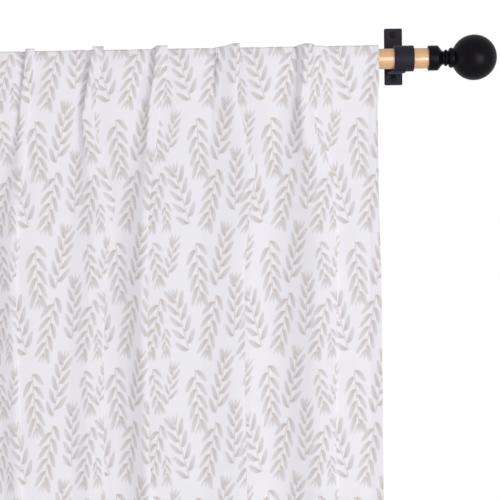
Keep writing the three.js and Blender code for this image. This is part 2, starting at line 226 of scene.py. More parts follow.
def cloth_section(depth):
    """Across (x), forward, lift and length along the cloth for each depth and column.

    Every fold starts at its left foot. Each step of a bend is a chord that turns by an equal part of the
    bend, and x, forward and length are running sums of the chords. A flat stretch goes from one fold's right
    foot to the next one's left foot as 3 t^2 - 2 t^3, its columns closer together by the feet.
    """
    depth = np.asarray(depth, float)
    levelled = smoothstep(LEVELS["from"], LEVELS["to"], depth)
    given = smoothstep(GIVES_UP["from"], GIVES_UP["to"], depth)
    taken = sum(blended(row, "takes", given) for row in range(len(FOLDS)))
    x = [CLOTH_RIGHT - CLOTH["width"] + taken]
    forward = [FOLDS[0]["behind"] * levelled]
    slope, lift = [np.zeros_like(depth)], [np.zeros_like(depth)]

    def flat_to(end, level):
        start, before = x[-1], forward[-1]
        for step in range(1, STEPS["flat"] + 1):
            share = (1 - math.cos(math.pi * step / STEPS["flat"])) / 2
            x.append(start + (end - start) * share)
            forward.append(before + (level - before) * smoothstep(0, 1, share))
            slope.append(np.zeros_like(depth))
            lift.append(np.zeros_like(depth))

    def follow(pieces, risen):
        left = forward[-1]
        for length, turn, steps in pieces:
            half = turn / steps / 2
            chord = length / steps * np.sinc(half / np.pi)
            for _ in range(steps):
                x.append(x[-1] + chord * np.cos(slope[-1] + half))
                forward.append(forward[-1] + chord * np.sin(slope[-1] + half))
                slope.append(slope[-1] + 2 * half)
                lift.append((forward[-1] - left) * risen)

    for row, fold in enumerate(FOLDS):
        moved = 1 - np.exp(-((depth / DRIFT_DEPTH) ** fold["slow"]))
        flat_to(CLOTH_RIGHT - blended(row, "at", moved), fold["behind"] * levelled)
        height, pieces = fold_pieces(row, depth, (fold["ahead"] - fold["behind"]) * levelled)
        follow(pieces, fold["lift"] / height)
    flat_to(np.full_like(depth, CLOTH_RIGHT - EDGE_CURL["length"]), forward[-1])
    curled = smoothstep(EDGE_CURL["from"], EDGE_CURL["to"], depth)
    eased = smoothstep(EDGE_CURL["eases"], EDGE_CURL["flat"], depth)
    curl = np.radians(EDGE_CURL["angle"]) * (curled - eased)
    follow([(np.full_like(depth, EDGE_CURL["length"]), -curl, STEPS["curl"])], 0.0)
    x, forward, lift = (np.stack(values, 1) for values in (x, forward, lift))
    length = np.hypot(np.diff(x, axis=1), np.diff(forward, axis=1)).cumsum(1)
    along = CLOTH["width"] - length[:, -1:] + np.concatenate([np.zeros((len(depth), 1)), length], 1)
    return x, forward, lift, along


def hung_cloth():
    """The hung sheet's points, and each point's place on the flat cloth (across, down), in millimetres.

    y is a little in front of the solid's middle, less how far the fold stands forward, plus the heading's
    lean to the wall, leans_back (1 - down / depth)^2, and the swing back under the pole. z is the top less
    the depth, plus the crest's lift.
    """
    t = np.linspace(0, 1, ROWS_OF_CLOTH + 1)
    depth = CLOTH["length"] * (EVENLY_SPACED * t + (1 - EVENLY_SPACED) * t * t)
    x, forward, lift, along = cloth_section(depth)
    down = np.repeat(depth[:, None], x.shape[1], 1)
    middle = POLE_Y - POLE_RADIUS - CLOTH["from_pole"] - CLOTH["solid"] / 2
    tipped = HEADING["leans_back"] * (1 - np.minimum(down / HEADING["depth"], 1)) ** 2
    swung = SWING_BACK["amount"] * smoothstep(SWING_BACK["from"], SWING_BACK["to"], down)
    y = middle - CLOTH["in_front"] + tipped + swung - forward
    z = CLOTH["top"] - down + lift * (1 - smoothstep(0, RELAX_DEPTH, down))
    return np.stack([x, y, z], 2), along, down


# The bow: how much further down the print a point takes its colour from, at a place across the flat cloth
# (the first column) and at the depths that head the others.
BOW = table(
    ["across", 0, 120, 335, 555, 780],
    [
        [565, -12, -2, 5, 2, -7],
        [735, -11, -1, 8, 10, 6],
        [900, -11, -1, 6, 5, -1],
        [1065, -11, -2, 7, 9, 8],
        [1232, -14, -5, 3, 0, -5],
    ],
)
SKEW = {"most": 15.5, "from": 80.0, "over": 400.0}


def printed_at(along, down):
    """Where the print's rollers laid each point of the flat cloth: its lines skew a little, and bow.

    The skew is most (1 - exp(-(down - from) / over)). The bow is the table's value, straight between its
    places across and down.
    """
    skewed = along + SKEW["most"] * (1 - np.exp(-(down - SKEW["from"]) / SKEW["over"]))
    depths = [column for column in BOW[0] if column != "across"]
    places = np.array([row["across"] for row in BOW], float)
    bowed = np.stack([np.interp(down[:, 0], depths, [row[depth] for depth in depths]) for row in BOW], 1)
    spot = np.clip(np.interp(along, places, np.arange(len(BOW))), 0, len(BOW) - 1)
    shares = np.clip(1 - np.abs(spot[..., None] - np.arange(len(BOW))), 0, 1)
    return np.stack([skewed, down + (shares * bowed[:, None, :]).sum(2)], 2)


def backwards(points):
    """Unit vectors out of the back of the sheet, as the cross product of its two directions."""
    across = np.gradient(points, axis=1)
    down = np.gradient(points, axis=0)
    normal = np.cross(down, across)
    normal /= np.linalg.norm(normal, axis=2, keepdims=True)
    return -normal


def grid_faces(rows, columns, wraps=False):
    """Corner numbers of the faces between neighbouring rows and columns of a grid of points."""
    row = np.arange(rows - 1)[:, None]
    column = np.arange(columns if wraps else columns - 1)[None, :]
    after = (column + 1) % columns
    corners = [
        row * columns + column,
        (row + 1) * columns + column,
        (row + 1) * columns + after,
        row * columns + after,
    ]
    return np.stack([np.broadcast_to(c, (rows - 1, column.size)) for c in corners], 2).reshape(-1, 4)


def mesh_of(name, points, faces, finish, maps=None, sharp=None):
    """A piece from an array of points in millimetres and one of faces, with UV maps from arrays by name.

    Where `sharp` is given, points in the same place are joined, and an edge shows as sharp if the surface
    turns there by more than that many degrees.
    """
    data = bpy.data.meshes.new(name)
    data.from_pydata((points.reshape(-1, 3) / METRE).tolist(), [], faces.tolist())
    corner = np.empty(len(data.loops), np.int32)
    data.loops.foreach_get("vertex_index", corner)
    for title, places in (maps or {}).items():
        layer = data.uv_layers.new(name=title)
        layer.uv.foreach_set("vector", (places.reshape(-1, 2)[corner] / METRE).astype(np.float32).ravel())
    data.polygons.foreach_set("use_smooth", np.ones(len(data.polygons), bool))
    data.materials.append(finish)
    data.update()
    if sharp is not None:
        tidy = bmesh.new()
        tidy.from_mesh(data)
        bmesh.ops.remove_doubles(tidy, verts=tidy.verts, dist=SAME_PLACE)
        bmesh.ops.recalc_face_normals(tidy, faces=tidy.faces)
        tidy.to_mesh(data)
        tidy.free()
        data.set_sharp_from_angle(angle=math.radians(sharp))
    piece = bpy.data.objects.new(name, data)
    bpy.context.scene.collection.objects.link(piece)
    return piece


# -------------------------------- finishes


class Number:
    """One number in a finish's nodes; arithmetic on it adds Math nodes."""

    def __init__(self, finish, socket):
        self.finish, self.socket = finish, socket

    def maths(self, operation, *others, clamp=False):
        return self.finish.maths(operation, self, *others, clamp=clamp)

    def __add__(self, other):
        return self.maths("ADD", other)

    __radd__ = __add__

    def __sub__(self, other):
        return self.maths("SUBTRACT", other)

    def __rsub__(self, other):
        return self.finish.maths("SUBTRACT", other, self)

    def __mul__(self, other):
        return self.maths("MULTIPLY", other)

    __rmul__ = __mul__

    def __truediv__(self, other):
        return self.maths("DIVIDE", other)

    def __abs__(self):
        return self.maths("ABSOLUTE")

    def clamped(self):
        """The number kept between 0 and 1."""
        return self.maths("ADD", 0.0, clamp=True)

    def greater(self, other):
        return self.maths("MAXIMUM", other)

    def lesser(self, other):
        return self.maths("MINIMUM", other)

    def wrapped(self, half):
        """The number brought between -half and half by whole repeats."""
        return self.maths("WRAP", -half, half)


class Finish:
    """A material with one Principled surface, and short ways to add nodes to it."""

    def __init__(self, name, inputs):
        self.material = bpy.data.materials.new(name)
        self.material.use_nodes = True
        self.tree = self.material.node_tree
        self.tree.nodes.clear()
        self.coordinates = self.node("ShaderNodeTexCoord")
        self.surface = self.node("ShaderNodeBsdfPrincipled", inputs=inputs)
        self.node("ShaderNodeOutputMaterial", inputs={"Surface": self.surface.outputs[0]})

    def node(self, kind, settings=None, inputs=None):
        """A node of a kind, with its settings made first and then its sockets' values or links."""
        made = self.tree.nodes.new(kind)
        for name, value in (settings or {}).items():
            setattr(made, name, value)
        for name, value in (inputs or {}).items():
            self.feed(made.inputs[name], value)
        return made

    def feed(self, socket, value):
        """Links a node's output to a socket, or sets the socket's own value."""
        if isinstance(value, Number):
            value = value.socket
        if isinstance(value, bpy.types.NodeSocket):
            self.tree.links.new(value, socket)
        else:
            socket.default_value = value

    def maths(self, operation, *values, clamp=False):
        settings = {"operation": operation, "use_clamp": clamp}
        return Number(self, self.node("ShaderNodeMath", settings, dict(enumerate(values))).outputs[0])

    def mix(self, share, first, second, blend="MIX"):
        """Two colours mixed by a share."""
        settings = {"data_type": "RGBA", "blend_type": blend, "clamp_factor": True}
        return self.node("ShaderNodeMix", settings, {0: share, 6: first, 7: second}).outputs[2]

    def millimetres(self, place):
        """The first two of a vector's three numbers, turned from metres to millimetres."""
        split = self.node("ShaderNodeSeparateXYZ", inputs={0: place})
        return tuple(Number(self, split.outputs[i]) * METRE for i in (0, 1))

    def noise(self, vector, scale, detail, roughness):
        """Noise from 0 to 1, whose largest forms are about 1 / scale metres across."""
        inputs = {"Vector": vector, "Scale": scale, "Detail": detail, "Roughness": roughness}
        return Number(self, self.node("ShaderNodeTexNoise", inputs=inputs).outputs["Fac"])

    def stretched_noise(self, vector, scale, detail, roughness):
        """Noise with a scale of its own for each axis."""
        mapped = self.node("ShaderNodeMapping", inputs={"Vector": vector, "Scale": scale})
        return self.noise(mapped.outputs[0], 1.0, detail, roughness)

    def bump(self, height, strength, distance):
        """Normals from a height, for which 1 is the distance in metres."""
        inputs = {"Height": height, "Strength": strength, "Distance": distance}
        return self.node("ShaderNodeBump", inputs=inputs).outputs[0]

    def set(self, **inputs):
        """Sets or links the surface's inputs, whose names have underscores for spaces."""
        for name, value in inputs.items():
            self.feed(self.surface.inputs[name.replace("_", " ")], value)


def rgb(red, green, blue):
    """A colour given as it shows on a screen, from 0 to 255, as the linear values that a node takes."""
    shown = [channel / 255 for channel in (red, green, blue)]
    linear = [s / 12.92 if s <= 0.04045 else ((s + 0.055) / 1.055) ** 2.4 for s in shown]
    return (*linear, 1.0)


# -------------------------------- the printed cotton

TILE = {"across": 165.5, "down": 220.0}
FIRST_SPRIG = {"across": 901.5, "down": 119.2}

# The ink fades out over `edge`, and `stem` is half a stem's width. The leaves of a sprig's second side stand
# `behind` the first side's by this share of the pitch.
INK = {"edge": 2.1, "stem": 0.75, "behind": 0.52}
LEAF_LABEL = {"side": 0.31, "sprig": 7.13}  # added to a leaf's number, so that each draws a tone of its own
# Painted shade: the side and foot hems are darkened by this share, as doubled cloth lets less light through.
HEM_PAINTED_SHADE = 0.12
# Painted shade: a dark line within `width` of the fold at the top edge, standing in for the shadow under it.
TOP_FOLD_PAINTED_SHADE = {"width": 1.8, "shade": 0.5}
TWO_THREADS = 0.9  # of the weave
COTTON_COLOURS = {
    "ground": (rgb(239, 237, 242), rgb(247, 246, 249)),
    "leaf": (rgb(226, 222, 223), rgb(217, 215, 213)),
    "wash": rgb(217, 210, 213),
    "brown": (rgb(206, 193, 181), rgb(192, 178, 165)),
    # Painted shade: `hem` is the darker colour that the hems are shaded towards.
    "hem": rgb(204, 199, 204),
    # Painted shade: the dark colour along the fold at the top edge.
    "top_fold_painted_shade": rgb(176, 171, 180),
}

# Each sprig of one repeat, from its bare end. `points` is 1 where its leaves point down and -1 where they
# point up, `lean` turns it to the right in degrees, `reach` is how far a leaf goes from the stem, with
# `uneven` more of it on the right and less on the left, `spread` is the slope of a leaf along the stem over
# across it, with `tilt` more of it on the right, `closes` how much steeper the leaves get for each millimetre
# of stem, and `first` the side of the first leaf. DROOP makes a leaf steeper towards its tip, and SHORTENS
# is how much less the leaves reach for each millimetre of stem.
SPRIGS = table(
    [
        "x", "y", "points", "lean", "pitch", "reach", "uneven",
        "width", "spread", "closes", "tilt", "leaves", "first",
    ],
    [
        [0.0, -1.0, 1, 5.0, 20.9, 20.5, -0.5, 9.1, 0.55, 0.010, -0.05, 5, 1],
        [-11.0, 182.5, -1, -15.0, 21.2, 21.4, 0.0, 9.3, 0.46, 0.007, 0.12, 5, -1],
        [36.5, 88.0, 1, -10.0, 22.0, 19.5, -1.5, 8.9, 0.86, 0.006, 0.12, 5, 1],
        [-60.5, 94.0, 1, -10.0, 21.5, 18.1, -2.5, 8.7, 0.86, 0.006, 0.15, 5, 1],
        [37.0, 71.0, -1, 10.0, 21.8, 19.1, 1.2, 9.1, 0.86, 0.005, -0.06, 5, -1],
        [68.0, 159.0, -1, 2.0, 21.4, 17.7, 0.0, 8.7, 0.80, 0.006, 0.05, 5, -1],
        [-47.5, 57.0, -1, 10.0, 17.2, 13.5, 1.0, 6.6, 0.95, 0.007, 0.0, 4, -1],
        [-52.5, 146.5, 1, 2.5, 15.0, 9.8, 1.5, 5.3, 1.30, 0.012, -0.2, 3, 1],
        [-73.4, -2.0, 1, 8.0, 18.5, 14.4, 1.0, 7.2, 0.68, 0.012, -0.1, 4, 1],
    ],
)
DROOP = 0.018
SHORTENS = 0.045
FAN_LEAF = {"length": 20.0, "width": 4.0, "spread": 0.4}


def sprig(finish, across, down, row, number):
    """Ink, warmth and tone of one sprig at a place on the flat cloth.

    Along the stem and out from it are the place turned by the sprig's lean. A leaf leaves the stem at
    `start`, so that along = start + spread out + droop out^2. Rounding start / pitch says which leaf is
    nearest, and what is left over, divided by sqrt(1 + slope^2), is the distance from its middle line. Its
    width is 4 s (1 - s), where s is the share of its reach, which shortens along the stem. Past the stem's
    end is a fan of three thin leaves, one straight and two spread.
    """
    lean = math.radians(row["lean"])
    sin, cos = math.sin(lean), math.cos(lean) * row["points"]
    stem = row["pitch"] * (row["leaves"] - 0.75)
    right = (across - (row["x"] + sin * stem / 2)).wrapped(TILE["across"] / 2)
    below = (down - (row["y"] + cos * stem / 2)).wrapped(TILE["down"] / 2)
    along = right * sin + below * cos + stem / 2
    out = right * abs(cos) - below * (row["points"] * sin)
    side = out.maths("SIGN")
    reach = abs(out)
    behind = INK["behind"] / 2 * (1 - row["first"] * side)
    spread = along * row["closes"] + (side * row["tilt"] + row["spread"])
    start = along - reach * (spread + reach * DROOP)
    last = side * (0.5 * row["first"]) + (row["leaves"] - 1.5)
    which = (start / row["pitch"] - behind).maths("ROUND").greater(0.0).lesser(last)
    slope = spread + reach * (2 * DROOP)
    aside = abs(start - (which + behind) * row["pitch"]) / (slope * slope + 1).maths("SQRT")
    share = reach / (side * row["uneven"] + (row["reach"] - along * SHORTENS))
    half_width = share * (1 - share) * (2 * row["width"])
    leaf = ((half_width - aside) / INK["edge"] + 0.5).clamped()
    past = (along - stem) / FAN_LEAF["length"]
    off_fan = reach.lesser(abs(reach - (along - stem) * FAN_LEAF["spread"]))
    fan = ((past * (1 - past) * (2 * FAN_LEAF["width"]) - off_fan) / INK["edge"] + 0.5).clamped()
    off_stem = reach.greater(abs(along - stem / 2) - stem / 2)
    twig = ((INK["stem"] - off_stem) / INK["edge"] + 0.5).clamped()
    ink = leaf.greater(fan).greater(twig)
    warmth = (leaf * (1 - share)).greater(fan * (1 - past)).greater(twig)
    label = which + (side * LEAF_LABEL["side"] + number * LEAF_LABEL["sprig"])
    drawn = finish.node("ShaderNodeTexWhiteNoise", {"noise_dimensions": "1D"}, {"W": label})
    return ink, warmth, Number(finish, drawn.outputs["Value"]) * leaf


def sprigs(finish, across, down):
    """Ink, warmth and tone of the whole print: at each place the most that any sprig gives."""
    most = sprig(finish, across, down, SPRIGS[0], 0)
    for number, row in enumerate(SPRIGS[1:], 1):
        most = [value.greater(other) for value, other in zip(most, sprig(finish, across, down, row, number))]
    return most


def printed_cotton():
    """Plain-weave cotton with the leaf print, and painted shade on the hems and along the top edge's fold.
    The weave and the painted shade are read on the flat cloth, and the print on a map of it that is
    skewed as the print is."""
    inputs = {"Roughness": 0.88, "Specular IOR Level": 0.25, "Sheen Weight": 0.12, "Sheen Roughness": 0.5}
    finish = Finish("printed_cotton", inputs)
    place = finish.node("ShaderNodeUVMap", {"uv_map": "cloth"}).outputs[0]
    across, down = finish.millimetres(place)
    printed = finish.node("ShaderNodeUVMap", {"uv_map": "print"}).outputs[0]
    printed_across, printed_down = finish.millimetres(printed)
    from_first = printed_across - FIRST_SPRIG["across"], printed_down - FIRST_SPRIG["down"]
    ink, warmth, tone = sprigs(finish, *from_first)
    wash = finish.stretched_noise(place, (90.0, 60.0, 1.0), 3.0, 0.6)
    slub = finish.stretched_noise(place, (1600.0, 45.0, 1.0), 2.0, 0.6)
    weft = finish.stretched_noise(place, (40.0, 1500.0, 1.0), 2.0, 0.6)
    colours = COTTON_COLOURS
    leaf = finish.mix(tone, *colours["leaf"])
    leaf = finish.mix(wash * 0.5, leaf, colours["wash"])
    brown = finish.mix(wash * 0.6, *colours["brown"])
    leaf = finish.mix((warmth * 1.6 - 0.6).clamped(), leaf, brown)
    ground = finish.mix((slub + weft) * 0.5, *colours["ground"])
    colour = finish.mix(ink * (0.86 + wash * 0.2), ground, leaf)
    # Painted shade on the side and foot hems.
    half_width = CLOTH["width"] / 2
    in_side_hem = abs(across - half_width) - (half_width - SIDE_HEM["turned"])
    in_foot_hem = down - (CLOTH["length"] - FOOT_HEM["turned"])
    in_hem = in_side_hem.greater(in_foot_hem)
    colour = finish.mix(in_hem.clamped() * HEM_PAINTED_SHADE, colour, colours["hem"], "MULTIPLY")
    # Painted shade: a dark line along the fold at the top edge.
    at_top_fold_painted_shade = (1 - abs(down) / TOP_FOLD_PAINTED_SHADE["width"]).clamped()
    colour = finish.mix(at_top_fold_painted_shade * TOP_FOLD_PAINTED_SHADE["shade"], colour, colours["top_fold_painted_shade"], "MULTIPLY")
    warp = (across * (2 * math.pi / TWO_THREADS)).maths("SINE")
    fill = (down * (2 * math.pi / TWO_THREADS)).maths("SINE")
    height = warp * fill * 0.5 + (slub + weft) * 0.7
    finish.set(Base_Color=colour, Normal=finish.bump(height, 0.35, 0.00012))
    return finish.material


# -------------------------------- the other finishes


def maple():
    """Clear-lacquered light maple: fine grain drawn out along the pole, with a few darker streaks."""
    finish = Finish("light_maple", {"Coat Roughness": 0.15, "Coat IOR": 2.0, "Specular IOR Level": 0.5})
    place = finish.coordinates.outputs["Object"]
    grain = finish.stretched_noise(place, (9.0, 330.0, 330.0), 4.0, 0.62)
    pores = finish.stretched_noise(place, (60.0, 1500.0, 1500.0), 2.0, 0.5)
    drift = finish.stretched_noise(place, (2.2, 26.0, 26.0), 3.0, 0.5)
    light = finish.mix(drift, rgb(236, 182, 118), rgb(246, 199, 141))
    colour = finish.mix(((grain - 0.42) * 2.4).clamped() * 0.7, light, rgb(220, 160, 96))
    colour = finish.mix(((pores - 0.6) * 2.0).clamped() * 0.4, colour, rgb(190, 132, 82))
    finish.set(
        Base_Color=colour,
        Roughness=0.42 + grain * 0.12,
        Coat_Weight=1.0,
        Normal=finish.bump(grain * 0.6 + pores * 0.4, 0.25, 0.00015),
    )
    return finish.material


def black(name, roughness, gloss, tint, speckle):
    """A black coating: slightly uneven gloss, a fine orange-peel surface and paler rubbed specks."""
    finish = Finish(name, {"Specular IOR Level": gloss, "Specular Tint": (0.88, 0.8, 1.0, 1.0)})
    place = finish.coordinates.outputs["Object"]
    peel = finish.noise(place, speckle, 3.0, 0.55)
    cloud = finish.noise(place, 38.0, 3.0, 0.5)
    colour = finish.mix(cloud, tint, tuple(1.5 * channel for channel in tint[:3]) + (1.0,))
    finish.set(
        Base_Color=colour,
        Roughness=roughness + (cloud - 0.5) * 0.12,
        Normal=finish.bump(peel, 0.22, 0.00012),
    )
    return finish.material


COTTON = printed_cotton()
MAPLE = maple()
BLACK_METAL = black("black_powder_coat", 0.5, 0.28, (0.0125, 0.0112, 0.0165, 1.0), 1300.0)
BLACK_WOOD = black("black_satin_paint", 0.31, 0.14, (0.0032, 0.0029, 0.0040, 1.0), 600.0)

# -------------------------------- the curtain


def turned_under(points, back, flat, offset, hem, outwards, edge_last):
    """Extra columns where an edge is turned to the back and lies there.

    `flat` is each point's place across the edge on the flat cloth, `offset` how far behind the cloth a layer
    lies already, and `outwards` the direction past the edge.
    The turn is half a circle. Its radius is the hem's, less three quarters of the cloth's own offset there,
    so a layer already turned comes to lie inside the others. Behind the turn the layer follows the columns.
    """
    if edge_last:
        points, back, flat, offset = (values[:, ::-1] for values in (points, back, flat, offset))
    sign = 1 if edge_last else -1
    reach = np.abs(flat - flat[:, :1])
    inner = int((reach.mean(0) < hem["turned"]).sum())
    radius = hem["round"] - LAYS_INSIDE * offset[..., None]
    angle = TURN_ANGLES[None, :, None]
    towards_back = back[:, :1] * radius[:, :1] * (1 - np.cos(angle))
    turn = points[:, :1] + towards_back + outwards[:, None] * radius[:, :1] * np.sin(angle)
    turn_flat = flat[:, :1] + sign * hem["round"] * TURN_ANGLES
    laid = points[:, 1:inner] + back[:, 1:inner] * 2 * radius[:, 1:inner]
    laid_flat = turn_flat[:, -1:] + sign * reach[:, 1:inner]
    new_back = np.concatenate([np.repeat(back[:, :1], len(TURN_ANGLES), 1), back[:, 1:inner]], 1)
    turn_offset = np.tile(hem["round"] * (1 - np.cos(TURN_ANGLES)), (len(points), 1))
    new_offset = np.concatenate([turn_offset, np.full(laid_flat.shape, 2 * hem["round"])], 1)
    return np.concatenate([turn, laid], 1), new_back, np.concatenate([turn_flat, laid_flat], 1), new_offset


def creased(points, across, down):
    """The sheet with its creases. Each moves the cloth out by rises exp(-((across - middle) / width)^2), and
    fades in over the first fifth of its line and out over the last two fifths."""
    out = np.zeros(across.shape)
    for crease in CREASES:
        share = (down - crease["down"]) / (crease["to_down"] - crease["down"])
        middle = crease["across"] + (crease["to_across"] - crease["across"]) * share
        fades = smoothstep(0, 0.2, share) * smoothstep(1, 0.6, share)
        out += crease["rises"] * fades * np.exp(-(((across - middle) / crease["width"]) ** 2))
    return points - backwards(points) * out[..., None]


def swapped(values):
    """A grid with its rows as columns."""
    return np.swapaxes(values, 0, 1)


def hemmed_cloth():
    """The hung sheet with its side edges turned under first, and then its top and its foot."""
    points, across, down = hung_cloth()
    points = creased(points, across, down)
    back = backwards(points)
    from_edge = CLOTH["width"] / 2 - np.abs(across - CLOTH["width"] / 2)
    hem_starts, hem_ends = SIDE_HEM["turned"] + SIDE_HEM["eases"], SIDE_HEM["turned"] - SIDE_HEM["eases"]
    in_hem = smoothstep(hem_starts, hem_ends, from_edge)
    points = points - back * (SIDE_HEM["step"] * in_hem)[..., None]
    no_offset = np.zeros(across.shape)
    sides = []
    for edge_last in (False, True):
        outwards = np.tile([1.0 if edge_last else -1.0, 0, 0], (len(points), 1))
        sides.append(turned_under(points, back, across, no_offset, SIDE_HEM, outwards, edge_last))
    whole = [
        np.concatenate([left[:, ::-1], middle, right], 1)
        for left, middle, right in zip(sides[0], (points, back, across, no_offset), sides[1])
    ]
    points, back, across, offset = whole
    down = np.repeat(down[:, :1], across.shape[1], 1)
    ends = []
    for hem, edge_last in ((TOP_HEM, False), (FOOT_HEM, True)):
        outwards = np.tile([0, 0, -1.0 if edge_last else 1.0], (across.shape[1], 1))
        standing = [swapped(values) for values in (points, back, down, offset)]
        ends.append(turned_under(*standing, hem, outwards, edge_last))
    (top_points, _, top_down, _), (foot_points, _, foot_down, _) = ends
    points = np.concatenate([swapped(top_points)[::-1], points, swapped(foot_points)], 0)
    down = np.concatenate([swapped(top_down)[::-1], down, swapped(foot_down)], 0)
    above = np.repeat(across[:1], top_down.shape[1], 0)
    below = np.repeat(across[-1:], foot_down.shape[1], 0)
    across = np.concatenate([above, across, below], 0)
    return points, {"print": printed_at(across, down), "cloth": np.stack([across, down], 2)}


def curtain():
    """The whole cloth as one thin sheet. Its print and its weave have a map each."""
    points, maps = hemmed_cloth()
    return mesh_of("curtain_cloth", points, grid_faces(*points.shape[:2]), COTTON, maps=maps)


# A back tab's line is measured from the pole's axis. `thickness` is the solid's and `shown` the loop's own.
# Each loop starts `next_print` further across the print, and `past_hem` keeps it out of the hems' painted
# shade.
TAB = {
    "width": 45.0,
    "loose": 1.5,
    "thickness": 1.5,
    "shown": 0.9,
    "edges_in": 0.35,
    "turn": 4.0,
    "lower_end": -38.0,
    "lower_turn": -25.0,
    "upper_end": 10.0,
    "upper_turn": -10.5,
    "next_print": 61.0,
    "past_hem": 100.0,
}


def tab_line(lower_y, upper_y):
    """The line of a back tab in the Y-Z plane from the pole's axis: up the back of the cloth, round under
    the pole, over its top and down behind the heading, as straight runs and arcs joined end to end."""
    inner = POLE_RADIUS + TAB["loose"]
    radius = inner + TAB["thickness"] / 2
    centre_z = POLE_RADIUS + SEAT_GAP - inner

    def arc(y, z, size, start, end, steps):
        angle = np.radians(np.linspace(start, end, steps + 1))
        return np.stack([y + size * np.cos(angle), z + size * np.sin(angle)], 1)

    runs = [
        np.stack([np.full(5, lower_y), np.linspace(TAB["lower_end"], TAB["lower_turn"], 6)[:-1]], 1),
        arc(lower_y + TAB["turn"], TAB["lower_turn"], TAB["turn"], 180, 90, 5),
        arc(0, centre_z, radius, -90, 90, 26),
        arc(TAB["upper_turn"], centre_z + radius - TAB["turn"], TAB["turn"], 90, 180, 5),
        np.array([[upper_y, TAB["upper_end"]]]),
    ]
    return np.concatenate(runs)


def back_tab(number):
    """One loop as a strip carried along its line, its long edges turned slightly in."""
    low, high = box_mm(f"back_tab_{number}")
    middle_x = (low[0] + high[0]) / 2
    behind = SEAT_GAP + TAB["thickness"] / 2
    cloth_back = -POLE_RADIUS - CLOTH["from_pole"]
    tip = 1 - min((CLOTH["top"] - POLE_Z - TAB["upper_end"]) / HEADING["depth"], 1)
    line = tab_line(cloth_back + behind, cloth_back + HEADING["leans_back"] * tip**2 + behind)
    tangent = np.gradient(line, axis=0)
    tangent /= np.linalg.norm(tangent, axis=1, keepdims=True)
    out = np.stack([-tangent[:, 1], tangent[:, 0]], 1)
    share = np.linspace(-1, 1, 13)
    inset = TAB["edges_in"] * np.abs(share) ** 6
    y = line[:, None, 0] - out[:, None, 0] * inset
    z = line[:, None, 1] - out[:, None, 1] * inset
    x = middle_x + share * TAB["width"] / 2 + 0 * y
    points = np.stack([x, y + POLE_Y, z + POLE_Z], 2)
    length = np.concatenate([[0], np.cumsum(np.linalg.norm(np.diff(line, axis=0), axis=1))])
    flat = np.stack([x - x[:, :1] + TAB["next_print"] * number, length[:, None] + 0 * x], 2)
    maps = {"print": flat, "cloth": flat + TAB["past_hem"]}
    piece = mesh_of(f"tab_loop_{number}", points, grid_faces(*points.shape[:2]), COTTON, maps=maps)
    thickened = piece.modifiers.new("thickness", "SOLIDIFY")
    thickened.thickness = TAB["shown"] / METRE
    thickened.offset = 0.0
    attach(piece, "root")
    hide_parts(f"back_tab_{number}")


# -------------------------------- the pole, finials, brackets and screws


def turned(name, profile, centre_y, centre_z, finish, sides=128, sharp=28):
    """A turned piece: a profile of (x, radius) carried round the line through the centre along X."""
    angle = np.linspace(0, 2 * np.pi, sides, endpoint=False)
    x = np.repeat(profile[:, :1], sides, 1)
    y = centre_y + profile[:, 1:] * np.cos(angle)
    z = centre_z + profile[:, 1:] * np.sin(angle)
    points = np.stack([x, y, z], 2)
    return mesh_of(name, points, grid_faces(len(profile), sides, wraps=True), finish, sharp=sharp)


def quarter(x, radius, size, start, end, steps=4):
    """Points of an arc in a profile, in degrees from +x towards larger radius."""
    angle = np.radians(np.linspace(start, end, steps + 1))
    return [(x + size * math.cos(a), radius + size * math.sin(a)) for a in angle]


def curve(start, control, end, steps=8):
    """Points of a quadratic curve: (1-t)^2 start + 2 t (1-t) control + t^2 end."""
    t = np.linspace(0, 1, steps + 1)[:, None]
    points = (1 - t) ** 2 * np.array(start) + 2 * t * (1 - t) * np.array(control) + t**2 * np.array(end)
    return [tuple(p) for p in points]


def pole():
    """A round pole with 1 mm eased ends."""
    left, right, r = POLE_LOW[0], POLE_HIGH[0], POLE_RADIUS
    profile = [(left, 0.0), (left, r - 1)]
    profile += quarter(left + 1, r - 1, 1.0, 180, 90)[1:]
    profile += [(x, r) for x in np.linspace(left, right, 14)[1:-1]]
    profile += quarter(right - 1, r - 1, 1.0, 90, 0)
    profile += [(right, 0.0)]
    piece = turned("pole", np.array(profile), POLE_Y, POLE_Z, MAPLE)
    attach(piece, "root")
    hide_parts("rod")


FINIAL = {"floor": 14.3, "neck": 16.6, "ball": 39.0, "ball_from_base": 78.9}


def finial(side):
    """Cup, cove, bead, collar and ball as one profile, from the cup's floor to the ball's far end."""
    low, high = box_mm(f"finial_{side}")
    hand = 1 if side == "right" else -1
    base = low[0] if side == "right" else high[0]
    bore, floor, ball = POLE_RADIUS + SEAT_GAP, FINIAL["floor"], FINIAL["ball"]
    profile = [(floor, 0.0), (floor, bore), (0.3, bore), (0.0, bore + 0.3), (0.0, 20.8)]
    profile += quarter(0.8, 20.7, 0.8, 180, 90)[1:]
    profile += [(8.0, 21.5), (15.8, 21.5)]
    profile += quarter(15.8, 20.8, 0.7, 90, 20)[1:]
    profile += curve((16.9, 20.4), (18.6, 18.9), (20.0, 17.2))
    profile += curve((20.4, 16.6), (22.6, 12.5), (26.2, 11.3))[1:]
    profile += [(27.0, 11.5)]
    profile += curve((27.4, 12.2), (30.4, 16.6), (33.4, 12.0))
    profile += [(34.0, 11.4), (35.0, 11.4), (35.5, 14.8)]
    profile += curve((36.0, 15.6), (37.8, 17.6), (40.0, 17.4))
    profile += [(41.4, 17.0), (42.2, FINIAL["neck"])]
    start = math.degrees(math.asin(FINIAL["neck"] / ball))
    angle = np.radians(np.linspace(180 - start, 0, 44))
    profile += [(FINIAL["ball_from_base"] + ball * math.cos(a), ball * math.sin(a)) for a in angle]
    profile[-1] = (FINIAL["ball_from_base"] + ball, 0.0)
    points = np.array(profile)
    points[:, 0] = base + hand * points[:, 0]
    piece = turned(f"ball_finial_{side}", points, POLE_Y, POLE_Z, BLACK_WOOD, sharp=40)
    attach(piece, "root")
    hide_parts(f"finial_{side}")


